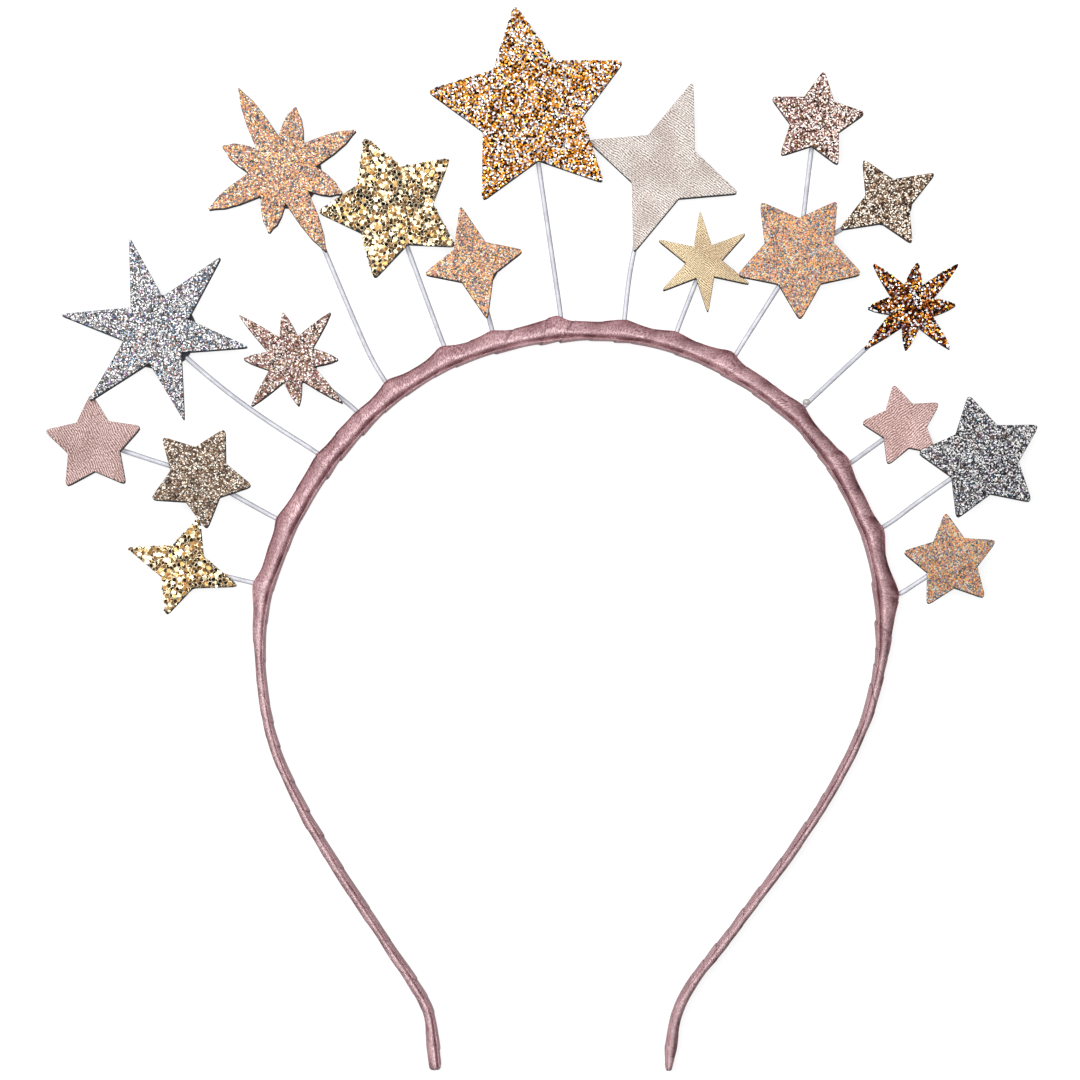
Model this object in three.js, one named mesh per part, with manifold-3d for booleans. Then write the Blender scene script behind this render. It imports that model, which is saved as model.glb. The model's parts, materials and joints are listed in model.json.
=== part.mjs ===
// Star headband: a ribbon-wound spring band with coated wire stems that carry flat stars.
// It lies on its back. X runs across it, Y up towards the crown and Z out of the face that shows.
import * as THREE from 'three';
import { mergeVertices } from 'three/addons/utils/BufferGeometryUtils.js';
import Module from 'manifold-3d';

const wasm = await Module();
wasm.setup();

// Driving dimensions in millimetres
const BAND_HALF_WIDTH = 64.4;
const BAND_HEIGHT = 151;
const STRIP_DEPTH = 6;
const RIM_THICKNESS = 1.1;
const WINDING_THICKNESS = 4.0;
const LUMP_HEIGHT = 0.8;
const LUMP_RISE = 4.2;
const LUMP_FALL = 3;
const RIBBON_PITCH = 7;
const RIBBON_STEP = 0.22;
const STEM_DIAMETER = 0.95;
const STEM_FREE_LENGTH = 28.6;
const SOCKET_DEPTH = 1.6;
const STAR_RADIUS = 20.3;
const STAR_THICKNESS = 1.2;
const TIP_ROUNDING = 1.3;
const PATCH_RADIUS = 7.6;
const PATCH_FLOOR = 0.35;
const CLEARANCE = 0.3;
const LEVEL_GAP = 0.4;
const FLOOR_GAP = 0.4;

// Mesh fineness
const STEM_SIDES = 8;
const STEM_STEP_LENGTH = 4;
const STEM_POINT_SPACING = 5;
const STEM_LEAST_STEPS = 6;
const PATCH_SIDES = 16;
const OUTLINE_CURVE_SEGMENTS = 3;
const LENGTH_SAMPLES = 1200;
const SEAT_SAMPLES = 800;
const MERGE_DISTANCE = 1e-5;

// The band's sections from the left tip over the crown to the right tip. across and up place the middle
// of the section, as shares of the half width and of the height, and thick is a share of the winding.
const SECTIONS = [
  { across: -0.435, up: 0.003, thick: 0.56 },
  { across: -0.446, up: 0.040, thick: 0.62 },
  { across: -0.462, up: 0.084, thick: 0.50 },
  { across: -0.565, up: 0.155, thick: 0.46 },
  { across: -0.758, up: 0.281, thick: 0.46 },
  { across: -0.863, up: 0.359, thick: 0.46 },
  { across: -0.944, up: 0.441, thick: 0.45 },
  { across: -0.978, up: 0.529, thick: 0.46 },
  { across: -0.976, up: 0.612, thick: 0.70 },
  { across: -0.919, up: 0.698, thick: 0.95 },
  { across: -0.826, up: 0.776, thick: 0.96 },
  { across: -0.705, up: 0.843, thick: 0.98 },
  { across: -0.559, up: 0.901, thick: 0.98 },
  { across: -0.388, up: 0.944, thick: 0.94 },
  { across: -0.199, up: 0.969, thick: 0.90 },
  { across: 0.000, up: 0.981, thick: 0.92 },
  { across: 0.202, up: 0.975, thick: 0.93 },
  { across: 0.394, up: 0.949, thick: 0.93 },
  { across: 0.571, up: 0.907, thick: 0.92 },
  { across: 0.724, up: 0.850, thick: 0.88 },
  { across: 0.842, up: 0.779, thick: 0.89 },
  { across: 0.922, up: 0.700, thick: 0.90 },
  { across: 0.959, up: 0.611, thick: 0.88 },
  { across: 0.941, up: 0.530, thick: 0.50 },
  { across: 0.885, up: 0.449, thick: 0.43 },
  { across: 0.747, up: 0.340, thick: 0.42 },
  { across: 0.506, up: 0.197, thick: 0.42 },
  { across: 0.353, up: 0.112, thick: 0.45 },
  { across: 0.315, up: 0.078, thick: 0.50 },
  { across: 0.296, up: 0.036, thick: 0.60 },
  { across: 0.286, up: 0.002, thick: 0.34 },
];
const HOOP_CENTRE_UP = 0.572;

// One side of the winding's outline, from the outside over the wire roll and the crease to the strip's rim.
// roll is a share of what lies outside the rim, rim of the rim's thickness and deep of half the depth.
const OUTLINE = [
  { roll: 1.00, rim: 1.00, deep: 0.30 },
  { roll: 0.82, rim: 1.00, deep: 0.70 },
  { roll: 0.38, rim: 1.00, deep: 0.90 },
  { roll: 0.04, rim: 1.00, deep: 0.72 },
  { roll: 0.00, rim: 0.50, deep: 1.00 },
  { roll: 0.00, rim: 0.00, deep: 0.62 },
];
// Where the edge of each ribbon turn lies: phases along one turn, the last just before the step down
const TURN_PHASES = [0, 0.5, 0.94];

// Star outlines: arm lengths repeat round the star, and nudge turns an arm by that many degrees. belly is
// how far an arm's side swells, as a share of the notch radius, and BELLY_PLACE where along the side it
// does. SPLAYED_SIX is cut a little unevenly, and the arms of SLIM_EIGHT swell less than those of EIGHT.
// rounding is how far from its sharp corner a tip's rounding starts, where that isn't TIP_ROUNDING.
const FOUR = { points: 4, arms: [1, 0.88], nudge: [0, 0], belly: 0 };
const FIVE = { points: 5, arms: [1], nudge: [0], belly: 0 };
const SIX = { points: 6, arms: [1], nudge: [0], belly: 0 };
const SPLAYED_SIX = {
  points: 6, arms: [1, 1.01, 1.02, 0.99, 0.98, 1.02], nudge: [-2.4, 2.6, -1.6, -1.1, 1.3, 0], belly: 0,
};
const SLIM_EIGHT = { points: 8, arms: [1, 0.71, 0.91, 0.71], nudge: [0, -5, 0, 5], belly: 0.06 };
const EIGHT = { points: 8, arms: [1, 0.71, 0.91, 0.71], nudge: [0, -5, 0, 5], belly: 0.15, rounding: 2.2 };
const BELLY_PLACE = 0.64;

// Faces of the stars
const FINISHES = {
  silver: { color: 0xb9b8b6, roughness: 0.4, metalness: 0.7 },
  champagne: { color: 0xa68d73, roughness: 0.4, metalness: 0.6 },
  gold: { color: 0xb8934f, roughness: 0.3, metalness: 0.8 },
  rose: { color: 0xc09a88, roughness: 0.4, metalness: 0.6 },
  peach: { color: 0xd0a184, roughness: 0.4, metalness: 0.5 },
  bronze: { color: 0xb98f66, roughness: 0.35, metalness: 0.7 },
  copper: { color: 0x94653a, roughness: 0.35, metalness: 0.7 },
  pink_leather: { color: 0xc79c95, roughness: 0.5, metalness: 0.3 },
  pearl_leather: { color: 0xd9cac4, roughness: 0.5, metalness: 0.2 },
  gold_leather: { color: 0xcdaa72, roughness: 0.45, metalness: 0.5 },
};

// One row for each star. radius is its longest arm as a share of STAR_RADIUS, waist the notch as a share of
// that arm, and turn the angle of the first arm. The stem leaves the band at the angle seat round the hoop,
// or the star named in from, and heads for the star. free is the free stretch of wire as a share of
// STEM_FREE_LENGTH, bow its sideways bulge, patch the felt patch as a share of PATCH_RADIUS and level the
// layer. A bowPower under 1 brings the bulge near the band, and aside shifts the wire's end on the patch.
const STARS = [
  { name: 'pink_left', cut: FIVE, finish: 'pink_leather', radius: 0.512, waist: 0.525, turn: 92.6,
    from: 'champagne_left', heading: 163.3, free: 0.42, bow: 0, aside: -0.12, patch: 0.6, level: 0 },
  { name: 'silver_left', cut: SPLAYED_SIX, finish: 'silver', radius: 0.962, waist: 0.345, turn: 108.3,
    seat: 143.9, heading: 142.7, free: 0.724, bow: 0.032, patch: 1.03, level: 1 },
  { name: 'champagne_left', cut: FIVE, finish: 'champagne', radius: 0.537, waist: 0.535, turn: 133.6,
    seat: 158.3, heading: 150.5, free: 0.226, bow: 0, patch: 0.64, level: 2 },
  { name: 'gold_left', cut: FOUR, finish: 'gold', radius: 0.588, waist: 0.39, turn: 161,
    seat: 170.3, heading: 166.8, free: 0.098, bow: 0, patch: 0.62, level: 1 },
  { name: 'rose_eight', cut: SLIM_EIGHT, finish: 'rose', radius: 0.695, waist: 0.342, turn: 139.7,
    seat: 133.5, heading: 142, free: 0.065, bow: 0, patch: 0.66, level: 2 },
  { name: 'peach_eight', cut: EIGHT, finish: 'peach', radius: 0.967, waist: 0.345, turn: 118.2,
    seat: 126.4, heading: 115.9, free: 0.966, bow: 0.015, bowPower: 0.45, aside: -0.2, patch: 1, level: 0 },
  { name: 'gold_top', cut: FIVE, finish: 'gold', radius: 0.742, waist: 0.539, turn: 112,
    seat: 114.3, heading: 110.3, free: 0.52, bow: 0, patch: 0.62, level: 1 },
  { name: 'peach_four', cut: FOUR, finish: 'peach', radius: 0.582, waist: 0.39, turn: 103.4,
    seat: 105, heading: 105.2, free: 0.076, bow: 0, patch: 0.64, level: 3 },
  { name: 'bronze_crown', cut: FIVE, finish: 'bronze', radius: 1.032, waist: 0.503, turn: 98.6,
    seat: 92.7, heading: 98.4, free: 0.752, bow: 0, patch: 0.9, level: 1 },
  { name: 'pearl_four', cut: FOUR, finish: 'pearl_leather', radius: 0.902, waist: 0.384, turn: 70.8,
    seat: 81.1, heading: 75.8, free: 0.464, bow: 0.05, patch: 0.66, level: 0 },
  { name: 'gold_six', cut: SIX, finish: 'gold_leather', radius: 0.52, waist: 0.34, turn: 94.4,
    seat: 71.9, heading: 68.8, free: 0.148, bow: 0, patch: 0.42, level: 1 },
  { name: 'rose_right', cut: FIVE, finish: 'rose', radius: 0.505, waist: 0.505, turn: 80.7,
    from: 'peach_right', heading: 82.8, free: 0.59, bow: 0, patch: 0.6, level: 1 },
  { name: 'peach_right', cut: FIVE, finish: 'peach', radius: 0.651, waist: 0.547, turn: 126.6,
    seat: 60.6, heading: 57.7, free: 0.368, bow: 0, patch: 0.72, level: 2 },
  { name: 'champagne_right', cut: FOUR, finish: 'champagne', radius: 0.558, waist: 0.399, turn: 30.4,
    from: 'peach_right', heading: 31.3, free: 0.328, bow: 0, patch: 0.64, level: 1 },
  { name: 'copper_eight', cut: SLIM_EIGHT, finish: 'copper', radius: 0.652, waist: 0.342, turn: 42.1,
    seat: 45.9, heading: 42.9, free: 0.564, bow: 0, patch: 0.56, level: 0 },
  { name: 'pink_right', cut: FIVE, finish: 'pink_leather', radius: 0.43, waist: 0.531, turn: 103.9,
    seat: 32.8, heading: 35.6, free: 0.154, bow: 0, patch: 0.56, level: 0 },
  { name: 'silver_right', cut: FIVE, finish: 'silver', radius: 0.65, waist: 0.547, turn: 102.6,
    seat: 20, heading: 35.4, free: 0.392, bow: 0.012, patch: 0.62, level: 1 },
  { name: 'peach_low', cut: FIVE, finish: 'peach', radius: 0.497, waist: 0.524, turn: 96.7,
    seat: 8, heading: 33.5, free: 0.088, bow: 0, patch: 0.6, level: 2 },
];
// One wire passes behind its first star and runs on to a second
const RUNS_ON = { from: 'champagne_left', to: 'pink_left' };

// Sizes worked out from the driving ones
const BAND_MID = STRIP_DEPTH / 2;
const STEM_RADIUS = STEM_DIAMETER / 2;
const GROOVE_RADIUS = STEM_RADIUS + CLEARANCE;
const LOWEST_STEM = GROOVE_RADIUS + PATCH_FLOOR + FLOOR_GAP;
const LEVEL_STEP = STAR_THICKNESS + LEVEL_GAP;
const PATCH_TOP = GROOVE_RADIUS - CLEARANCE;
const PATCH_BACK = GROOVE_RADIUS + PATCH_FLOOR;
const BRANCH_START = 2 * STEM_DIAMETER + CLEARANCE;

const stemHeight = (star) => LOWEST_STEM + star.level * LEVEL_STEP;
const direction = (degrees) => {
  const angle = THREE.MathUtils.degToRad(degrees);
  return new THREE.Vector3(Math.cos(angle), Math.sin(angle), 0);
};

// The middle line of the band
const bandLine = new THREE.CatmullRomCurve3(
  SECTIONS.map((row) => new THREE.Vector3(row.across * BAND_HALF_WIDTH, row.up * BAND_HEIGHT, BAND_MID)),
);
bandLine.arcLengthDivisions = LENGTH_SAMPLES;
const bandLength = bandLine.getLength();
const hoopCentre = new THREE.Vector3(0, HOOP_CENTRE_UP * BAND_HEIGHT, BAND_MID);

function bandPlace(share) {
  const middle = bandLine.getPointAt(share);
  const along = bandLine.getTangentAt(share);
  const outward = new THREE.Vector3(-along.y, along.x, 0).normalize();
  return { middle, outward };
}

// The share of the band's length at which the ray at this angle round the hoop meets it
function seatShare(degrees) {
  const ray = direction(degrees);
  let best = 0;
  let nearest = -Infinity;
  for (let k = 0; k <= SEAT_SAMPLES; k += 1) {
    const share = k / SEAT_SAMPLES;
    const match = bandLine.getPointAt(share).sub(hoopCentre).normalize().dot(ray);
    if (match > nearest) {
      nearest = match;
      best = share;
    }
  }
  return best;
}

const seats = STARS.filter((star) => star.seat !== undefined).map((star) => seatShare(star.seat));

// The winding's thickness at a share of the length
function windingThickness(share) {
  const row = bandLine.getUtoTmapping(share) * (SECTIONS.length - 1);
  const before = Math.min(Math.floor(row), SECTIONS.length - 2);
  const mix = THREE.MathUtils.smoothstep(row - before, 0, 1);
  return THREE.MathUtils.lerp(SECTIONS[before].thick, SECTIONS[before + 1].thick, mix) * WINDING_THICKNESS;
}

// How much farther out the winding stands there, over the wires that leave it
function lumpHeight(share) {
  let lump = 0;
  for (const seat of seats) {
    const away = (share - seat) * bandLength;
    const reach = away / (away < 0 ? LUMP_RISE : LUMP_FALL);
    lump = Math.max(lump, LUMP_HEIGHT * Math.exp(-reach * reach));
  }
  return lump;
}

const outerEdge = (share) => windingThickness(share) / 2 + lumpHeight(share);

// The closed outline as rows round the section, front side first
const ROUND = [
  ...OUTLINE,
  ...[...OUTLINE].reverse().map((row) => ({ ...row, deep: -row.deep })),
];

function windingPoint(distance, side, step) {
  const share = distance / bandLength;
  const { middle, outward } = bandPlace(share);
  const thickness = windingThickness(share);
  const row = ROUND[side];
  const rim = Math.min(RIM_THICKNESS, thickness / 2);
  const innerEdge = -thickness / 2;
  const out = innerEdge + row.rim * rim + row.roll * (outerEdge(share) - innerEdge - rim);
  const up = (row.deep * STRIP_DEPTH) / 2;
  const lift = 1 + step / Math.hypot(out, up);
  return middle.clone().addScaledVector(outward, out * lift).add(new THREE.Vector3(0, 0, up * lift));
}

function geometryOf(vertices, triangles) {
  const geometry = new THREE.BufferGeometry();
  geometry.setAttribute('position', new THREE.Float32BufferAttribute(vertices, 3));
  geometry.setIndex(triangles);
  return geometry;
}

// The wound band. Its columns follow the ribbon's edge round the section as a helix, so each turn's overlap
// is a crisp slanted step. Columns past an end close up on the end's outline, and a fan of triangles caps it.
function windingGeometry() {
  const sides = ROUND.length;
  const perTurn = TURN_PHASES.length;
  const turns = Math.ceil(bandLength / RIBBON_PITCH) + 1;
  const columns = turns * perTurn + 1;
  const vertices = [];
  for (let c = 0; c < columns; c += 1) {
    const phase = TURN_PHASES[c % perTurn];
    for (let j = 0; j < sides; j += 1) {
      const helix = Math.floor(c / perTurn) + phase + j / sides - 1;
      const distance = THREE.MathUtils.clamp(helix * RIBBON_PITCH, 0, bandLength);
      const fromEnd = Math.min(distance, bandLength - distance);
      const step = RIBBON_STEP * (phase - 0.5) * Math.min(1, fromEnd / RIBBON_PITCH);
      vertices.push(...windingPoint(distance, j, step).toArray());
    }
  }
  const at = (c, j) => (j < sides ? c * sides + j : (c + perTurn) * sides);
  const triangles = [];
  for (let c = 0; c + 1 < columns; c += 1) {
    for (let j = 0; j < sides; j += 1) {
      if (j + 1 === sides && c + perTurn + 1 >= columns) continue;
      triangles.push(at(c, j), at(c, j + 1), at(c + 1, j + 1), at(c, j), at(c + 1, j + 1), at(c + 1, j));
    }
  }
  const last = (columns - 1) * sides;
  for (let j = 1; j + 1 < sides; j += 1) {
    triangles.push(0, j + 1, j, last, last + j, last + j + 1);
  }
  return geometryOf(vertices, triangles);
}

// Merges equal corners, drops triangles that have closed up and makes the mesh a solid
function solidOf(geometry) {
  const bare = geometry.clone();
  bare.deleteAttribute('normal');
  bare.deleteAttribute('uv');
  const merged = mergeVertices(bare, MERGE_DISTANCE);
  const index = merged.index.array;
  const kept = [];
  for (let i = 0; i < index.length; i += 3) {
    const [a, b, c] = [index[i], index[i + 1], index[i + 2]];
    if (a !== b && b !== c && c !== a) kept.push(a, b, c);
  }
  return new wasm.Manifold(new wasm.Mesh({
    numProp: 3,
    vertProperties: new Float32Array(merged.attributes.position.array),
    triVerts: new Uint32Array(kept),
  }));
}

function geometryOfSolid(solid) {
  const mesh = solid.getMesh();
  return geometryOf(Array.from(mesh.vertProperties), Array.from(mesh.triVerts));
}

// A round wire along a smooth line through the given points
function wireGeometry(points, radius) {
  const line = new THREE.CatmullRomCurve3(points);
  const section = new THREE.Shape();
  section.absarc(0, 0, radius, 0, 2 * Math.PI);
  return new THREE.ExtrudeGeometry(section, {
    curveSegments: STEM_SIDES / 2,
    steps: Math.max(STEM_LEAST_STEPS, Math.round(line.getLength() / STEM_STEP_LENGTH)),
    extrudePath: line,
    bevelEnabled: false,
  });
}

// The same wire with clearance all round and past both ends, to cut sockets and grooves with
function wireRoom(points) {
  const longer = points.map((point) => point.clone());
  const last = points.length - 1;
  longer[0].add(points[0].clone().sub(points[1]).setLength(CLEARANCE));
  longer[last].add(points[last].clone().sub(points[last - 1]).setLength(CLEARANCE));
  return solidOf(wireGeometry(longer, GROOVE_RADIUS));
}

function pointAlong(start, heading, distance, height) {
  const point = start.clone().addScaledVector(heading, distance);
  point.z = height;
  return point;
}

// Where the star's middle and its wire lie, from the band or from the star that the wire branches from
const places = {};

function placeStar(star) {
  const heading = direction(star.heading);
  const sideways = new THREE.Vector3(-heading.y, heading.x, 0);
  const arm = star.radius * STAR_RADIUS;
  const patch = star.patch * PATCH_RADIUS;
  const reach = arm + star.free * STEM_FREE_LENGTH;
  const height = stemHeight(star);
  const points = [];
  let start;
  let startHeight = BAND_MID;
  let held = 0;
  if (star.from) {
    const carrier = places[star.from];
    start = carrier.middle.clone();
    startHeight = carrier.height;
    held = carrier.patch + CLEARANCE;
    if (star.name === RUNS_ON.to) points.push(...carrier.points);
    else points.push(pointAlong(start, heading, BRANCH_START, carrier.height));
  } else {
    const share = seatShare(star.seat);
    const { middle, outward } = bandPlace(share);
    start = middle.clone().addScaledVector(outward, outerEdge(share));
    points.push(start.clone().addScaledVector(outward, -SOCKET_DEPTH), start);
  }
  const settled = height < startHeight ? reach - arm : reach - patch - CLEARANCE;
  const spans = Math.ceil(reach / STEM_POINT_SPACING);
  for (let k = 1; k <= spans; k += 1) {
    const distance = (k / spans) * reach;
    if (distance <= held && k < spans) continue;
    const bow = star.bow * reach * Math.sin(Math.PI * (k / spans) ** (star.bowPower ?? 1));
    const drift = (star.aside ?? 0) * patch * (k / spans);
    const rise = THREE.MathUtils.smoothstep(distance, held, settled);
    const point = pointAlong(start, heading, distance, THREE.MathUtils.lerp(startHeight, height, rise));
    points.push(point.addScaledVector(sideways, bow + drift));
  }
  const middle = pointAlong(start, heading, reach, height);
  places[star.name] = { star, points, middle, height, patch, arm };
}

// The outline of a star round its own middle, with rounded tips and, on leaf-shaped arms, curved sides
function starShape(star) {
  const { points, arms, nudge } = star.cut;
  const arm = star.radius * STAR_RADIUS;
  const spacing = 360 / points;
  const shape = new THREE.Shape();
  const notchAt = (k) => direction(star.turn + (k + 0.5) * spacing).multiplyScalar(star.waist * arm);
  const start = notchAt(-1);
  shape.moveTo(start.x, start.y);
  for (let k = 0; k < points; k += 1) {
    const from = notchAt(k - 1);
    const to = notchAt(k);
    const heading = direction(star.turn + k * spacing + nudge[k % nudge.length]);
    const tip = heading.clone().multiplyScalar(arm * arms[k % arms.length]);
    drawSide(shape, from, tip, star.cut, heading);
    drawSide(shape, tip, to, star.cut, heading);
  }
  return shape;
}

// One side of an arm between a notch and the start or end of the tip's rounding
function drawSide(shape, from, to, { belly, rounding: start = TIP_ROUNDING }, heading) {
  const length = from.distanceTo(to);
  const towardsTip = to.length() > from.length();
  const tip = towardsTip ? to : from;
  const notch = towardsTip ? from : to;
  const rounding = notch.clone().lerp(tip, 1 - start / length);
  const across = rounding.clone().sub(heading.clone().multiplyScalar(rounding.dot(heading)));
  const swell = across.setLength(belly * notch.length());
  const bulge = notch.clone().lerp(tip, BELLY_PLACE).add(swell);
  if (!towardsTip) shape.quadraticCurveTo(tip.x, tip.y, rounding.x, rounding.y);
  const end = towardsTip ? rounding : notch;
  if (belly) shape.quadraticCurveTo(bulge.x, bulge.y, end.x, end.y);
  else shape.lineTo(end.x, end.y);
}

function starMesh({ star, middle, height }) {
  const geometry = new THREE.ExtrudeGeometry(starShape(star), {
    depth: STAR_THICKNESS,
    curveSegments: OUTLINE_CURVE_SEGMENTS,
    bevelEnabled: false,
  });
  const mesh = new THREE.Mesh(geometry, new THREE.MeshStandardMaterial(FINISHES[star.finish]));
  mesh.name = `star_${star.name}`;
  mesh.position.set(middle.x, middle.y, height + GROOVE_RADIUS);
  return mesh;
}

// A felt disc behind the star, with a groove for each wire that reaches it
function patchMesh({ star, middle, height, patch }, rooms) {
  const thickness = PATCH_TOP + PATCH_BACK;
  const disc = new THREE.CylinderGeometry(patch, patch, thickness, PATCH_SIDES);
  disc.rotateX(Math.PI / 2);
  disc.translate(middle.x, middle.y, height + (PATCH_TOP - PATCH_BACK) / 2);
  let solid = solidOf(disc);
  for (const room of rooms) solid = solid.subtract(room);
  const mesh = new THREE.Mesh(
    geometryOfSolid(solid),
    new THREE.MeshStandardMaterial({ color: 0x2b2f38, roughness: 0.95, metalness: 0 }),
  );
  mesh.name = `patch_${star.name}`;
  return mesh;
}

function stemMesh({ star, points }) {
  const mesh = new THREE.Mesh(
    wireGeometry(points, STEM_RADIUS),
    new THREE.MeshStandardMaterial({ color: 0xd8d8de, roughness: 0.4, metalness: 0 }),
  );
  mesh.name = `stem_${star.name}`;
  return mesh;
}

function bandMesh(rooms) {
  let solid = solidOf(windingGeometry());
  for (const room of rooms) solid = solid.subtract(room);
  const mesh = new THREE.Mesh(
    geometryOfSolid(solid),
    new THREE.MeshStandardMaterial({ color: 0xb58a93, roughness: 0.45, metalness: 0 }),
  );
  mesh.name = 'satin_band';
  return mesh;
}

STARS.filter((star) => !star.from).forEach(placeStar);
STARS.filter((star) => star.from).forEach(placeStar);

// One wire for each star, less the one whose wire is the start of a longer wire
const wires = Object.values(places).filter(({ star }) => star.name !== RUNS_ON.from);
const rooms = wires.map(({ points }) => wireRoom(points));

const headband = new THREE.Group();
headband.add(bandMesh(rooms));
for (const wire of wires) headband.add(stemMesh(wire));
for (const place of Object.values(places)) {
  headband.add(starMesh(place));
  headband.add(patchMesh(place, rooms));
}

// The origin is the middle of the bottom of the whole thing's box
headband.updateMatrixWorld(true);
const box = new THREE.Box3().setFromObject(headband, true);
const centre = box.getCenter(new THREE.Vector3());
headband.position.set(-centre.x, -centre.y, -box.min.z);

export default headband;
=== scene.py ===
import json
import math

import bpy
import numpy as np
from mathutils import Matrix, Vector


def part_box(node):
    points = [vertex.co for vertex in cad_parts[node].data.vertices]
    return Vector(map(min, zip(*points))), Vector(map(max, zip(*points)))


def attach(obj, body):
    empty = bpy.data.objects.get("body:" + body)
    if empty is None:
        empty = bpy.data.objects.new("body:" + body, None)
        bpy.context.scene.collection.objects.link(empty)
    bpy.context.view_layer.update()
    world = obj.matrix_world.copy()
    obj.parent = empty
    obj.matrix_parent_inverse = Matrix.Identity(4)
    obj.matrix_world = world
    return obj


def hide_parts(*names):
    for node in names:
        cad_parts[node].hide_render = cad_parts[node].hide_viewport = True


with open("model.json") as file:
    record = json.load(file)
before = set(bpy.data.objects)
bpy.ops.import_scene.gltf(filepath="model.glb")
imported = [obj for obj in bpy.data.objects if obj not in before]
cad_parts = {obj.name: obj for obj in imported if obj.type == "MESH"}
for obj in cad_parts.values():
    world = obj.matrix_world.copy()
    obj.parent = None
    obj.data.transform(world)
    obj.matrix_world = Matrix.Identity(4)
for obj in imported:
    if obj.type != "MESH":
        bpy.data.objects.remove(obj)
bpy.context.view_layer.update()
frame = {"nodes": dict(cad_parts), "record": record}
NODES = frame["nodes"]
SLOTS = {part["node"]: part["material_slot"] for part in frame["record"]["subparts"]}
MM = 0.001
# Edges that turn more than this stay sharp
SMOOTH_ANGLE = math.radians(50)

# The view: how far the camera stands above the band, and how much it takes in at that distance
VIEW_DISTANCE = 650 * MM
VIEW_WIDTH = 216 * MM
VIEW_CENTRE = (-0.245 * MM, -0.056 * MM)
SENSOR_WIDTH = 36.0

# The band's middle line and winding, in the same terms and at the same place as its solid
BAND_HALF_WIDTH = 64.4 * MM
BAND_HEIGHT = 151 * MM
BAND_PLACE = Vector((6.955, -106.456, 3.096)) * MM
STRIP_DEPTH = 6 * MM
RIM_THICKNESS = 0.55 * MM
WINDING_THICKNESS = 4.0 * MM

# Rows from the left tip over the crown to the right tip: across and up as shares of the half width and
# of the height, and the winding's thickness as a share of WINDING_THICKNESS
SECTIONS = (
    (-0.435, 0.003, 0.56),
    (-0.446, 0.040, 0.62),
    (-0.462, 0.084, 0.50),
    (-0.565, 0.155, 0.46),
    (-0.758, 0.281, 0.46),
    (-0.863, 0.359, 0.46),
    (-0.944, 0.441, 0.45),
    (-0.978, 0.529, 0.46),
    (-0.976, 0.612, 0.70),
    (-0.919, 0.698, 0.95),
    (-0.826, 0.776, 0.96),
    (-0.705, 0.843, 0.98),
    (-0.559, 0.901, 0.98),
    (-0.388, 0.944, 0.94),
    (-0.199, 0.969, 0.90),
    (0.000, 0.981, 0.92),
    (0.202, 0.975, 0.93),
    (0.394, 0.949, 0.93),
    (0.571, 0.907, 0.92),
    (0.724, 0.850, 0.88),
    (0.842, 0.779, 0.89),
    (0.922, 0.700, 0.90),
    (0.959, 0.611, 0.88),
    (0.941, 0.530, 0.50),
    (0.885, 0.449, 0.43),
    (0.747, 0.340, 0.42),
    (0.506, 0.197, 0.42),
    (0.353, 0.112, 0.45),
    (0.315, 0.078, 0.50),
    (0.296, 0.036, 0.60),
    (0.286, 0.002, 0.34),
)

# Half of the winding's outline from the middle of its inner edge, over the front, to the middle of its
# outer edge. roll is a share of what lies outside the rim and rim of the rim's width; wall is a share of
# half the depth, less fall as a share of the whole width, less crease as a share of the crease's depth.
# lap is how much of the ribbon's edge shows there.
OUTLINE = (
    # roll, rim, wall, fall, crease, lap
    (0.00, 0.00, 0.0, 0.00, 0.00, 1.0),
    (0.00, 0.00, 0.5, 0.00, 0.00, 1.0),
    (0.00, 0.03, 1.0, 0.20, 0.00, 1.0),
    (0.00, 0.14, 1.0, 0.10, 0.00, 0.9),
    (0.00, 0.34, 1.0, 0.05, 0.00, 0.6),
    (0.00, 0.60, 1.0, 0.04, 0.05, 0.4),
    (0.00, 0.82, 1.0, 0.05, 0.45, 0.3),
    (0.00, 0.95, 1.0, 0.06, 0.90, 0.3),
    (0.02, 1.00, 1.0, 0.06, 1.00, 0.2),
    (0.06, 1.00, 1.0, 0.05, 0.85, 0.2),
    (0.11, 1.00, 1.0, 0.03, 0.45, 0.2),
    (0.17, 1.00, 1.0, 0.01, 0.12, 0.2),
    (0.24, 1.00, 1.0, 0.00, 0.00, 0.2),
    (0.32, 1.00, 1.0, 0.01, 0.00, 0.2),
    (0.42, 1.00, 1.0, 0.04, 0.00, 0.2),
    (0.54, 1.00, 1.0, 0.10, 0.00, 0.3),
    (0.66, 1.00, 1.0, 0.18, 0.00, 0.3),
    (0.78, 1.00, 1.0, 0.28, 0.00, 0.3),
    (0.88, 1.00, 1.0, 0.41, 0.00, 0.4),
    (0.96, 1.00, 1.0, 0.55, 0.00, 0.4),
    (1.00, 1.00, 0.5, 0.00, 0.00, 0.4),
    (1.00, 1.00, 0.0, 0.00, 0.00, 0.4),
)
OUTLINE_SIDES = 64
# How many points the outline gets between each two of its rows
OUTLINE_STEPS = 12
# How the section's width splits between the roll and the rim, for the way round it
ROLL_WAY = 0.75
RIM_WAY = 0.25
# The crease's depth and the rim's greatest width, as shares of the winding's thickness
CREASE_SHARE = 0.2
RIM_SHARE = 0.21
# From this share of the length on, the crease fades over FADE_SHARE down to a share of its depth
SMOOTH_FROM = 0.86
FADE_SHARE = 0.04
FADED = 0.85

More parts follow.
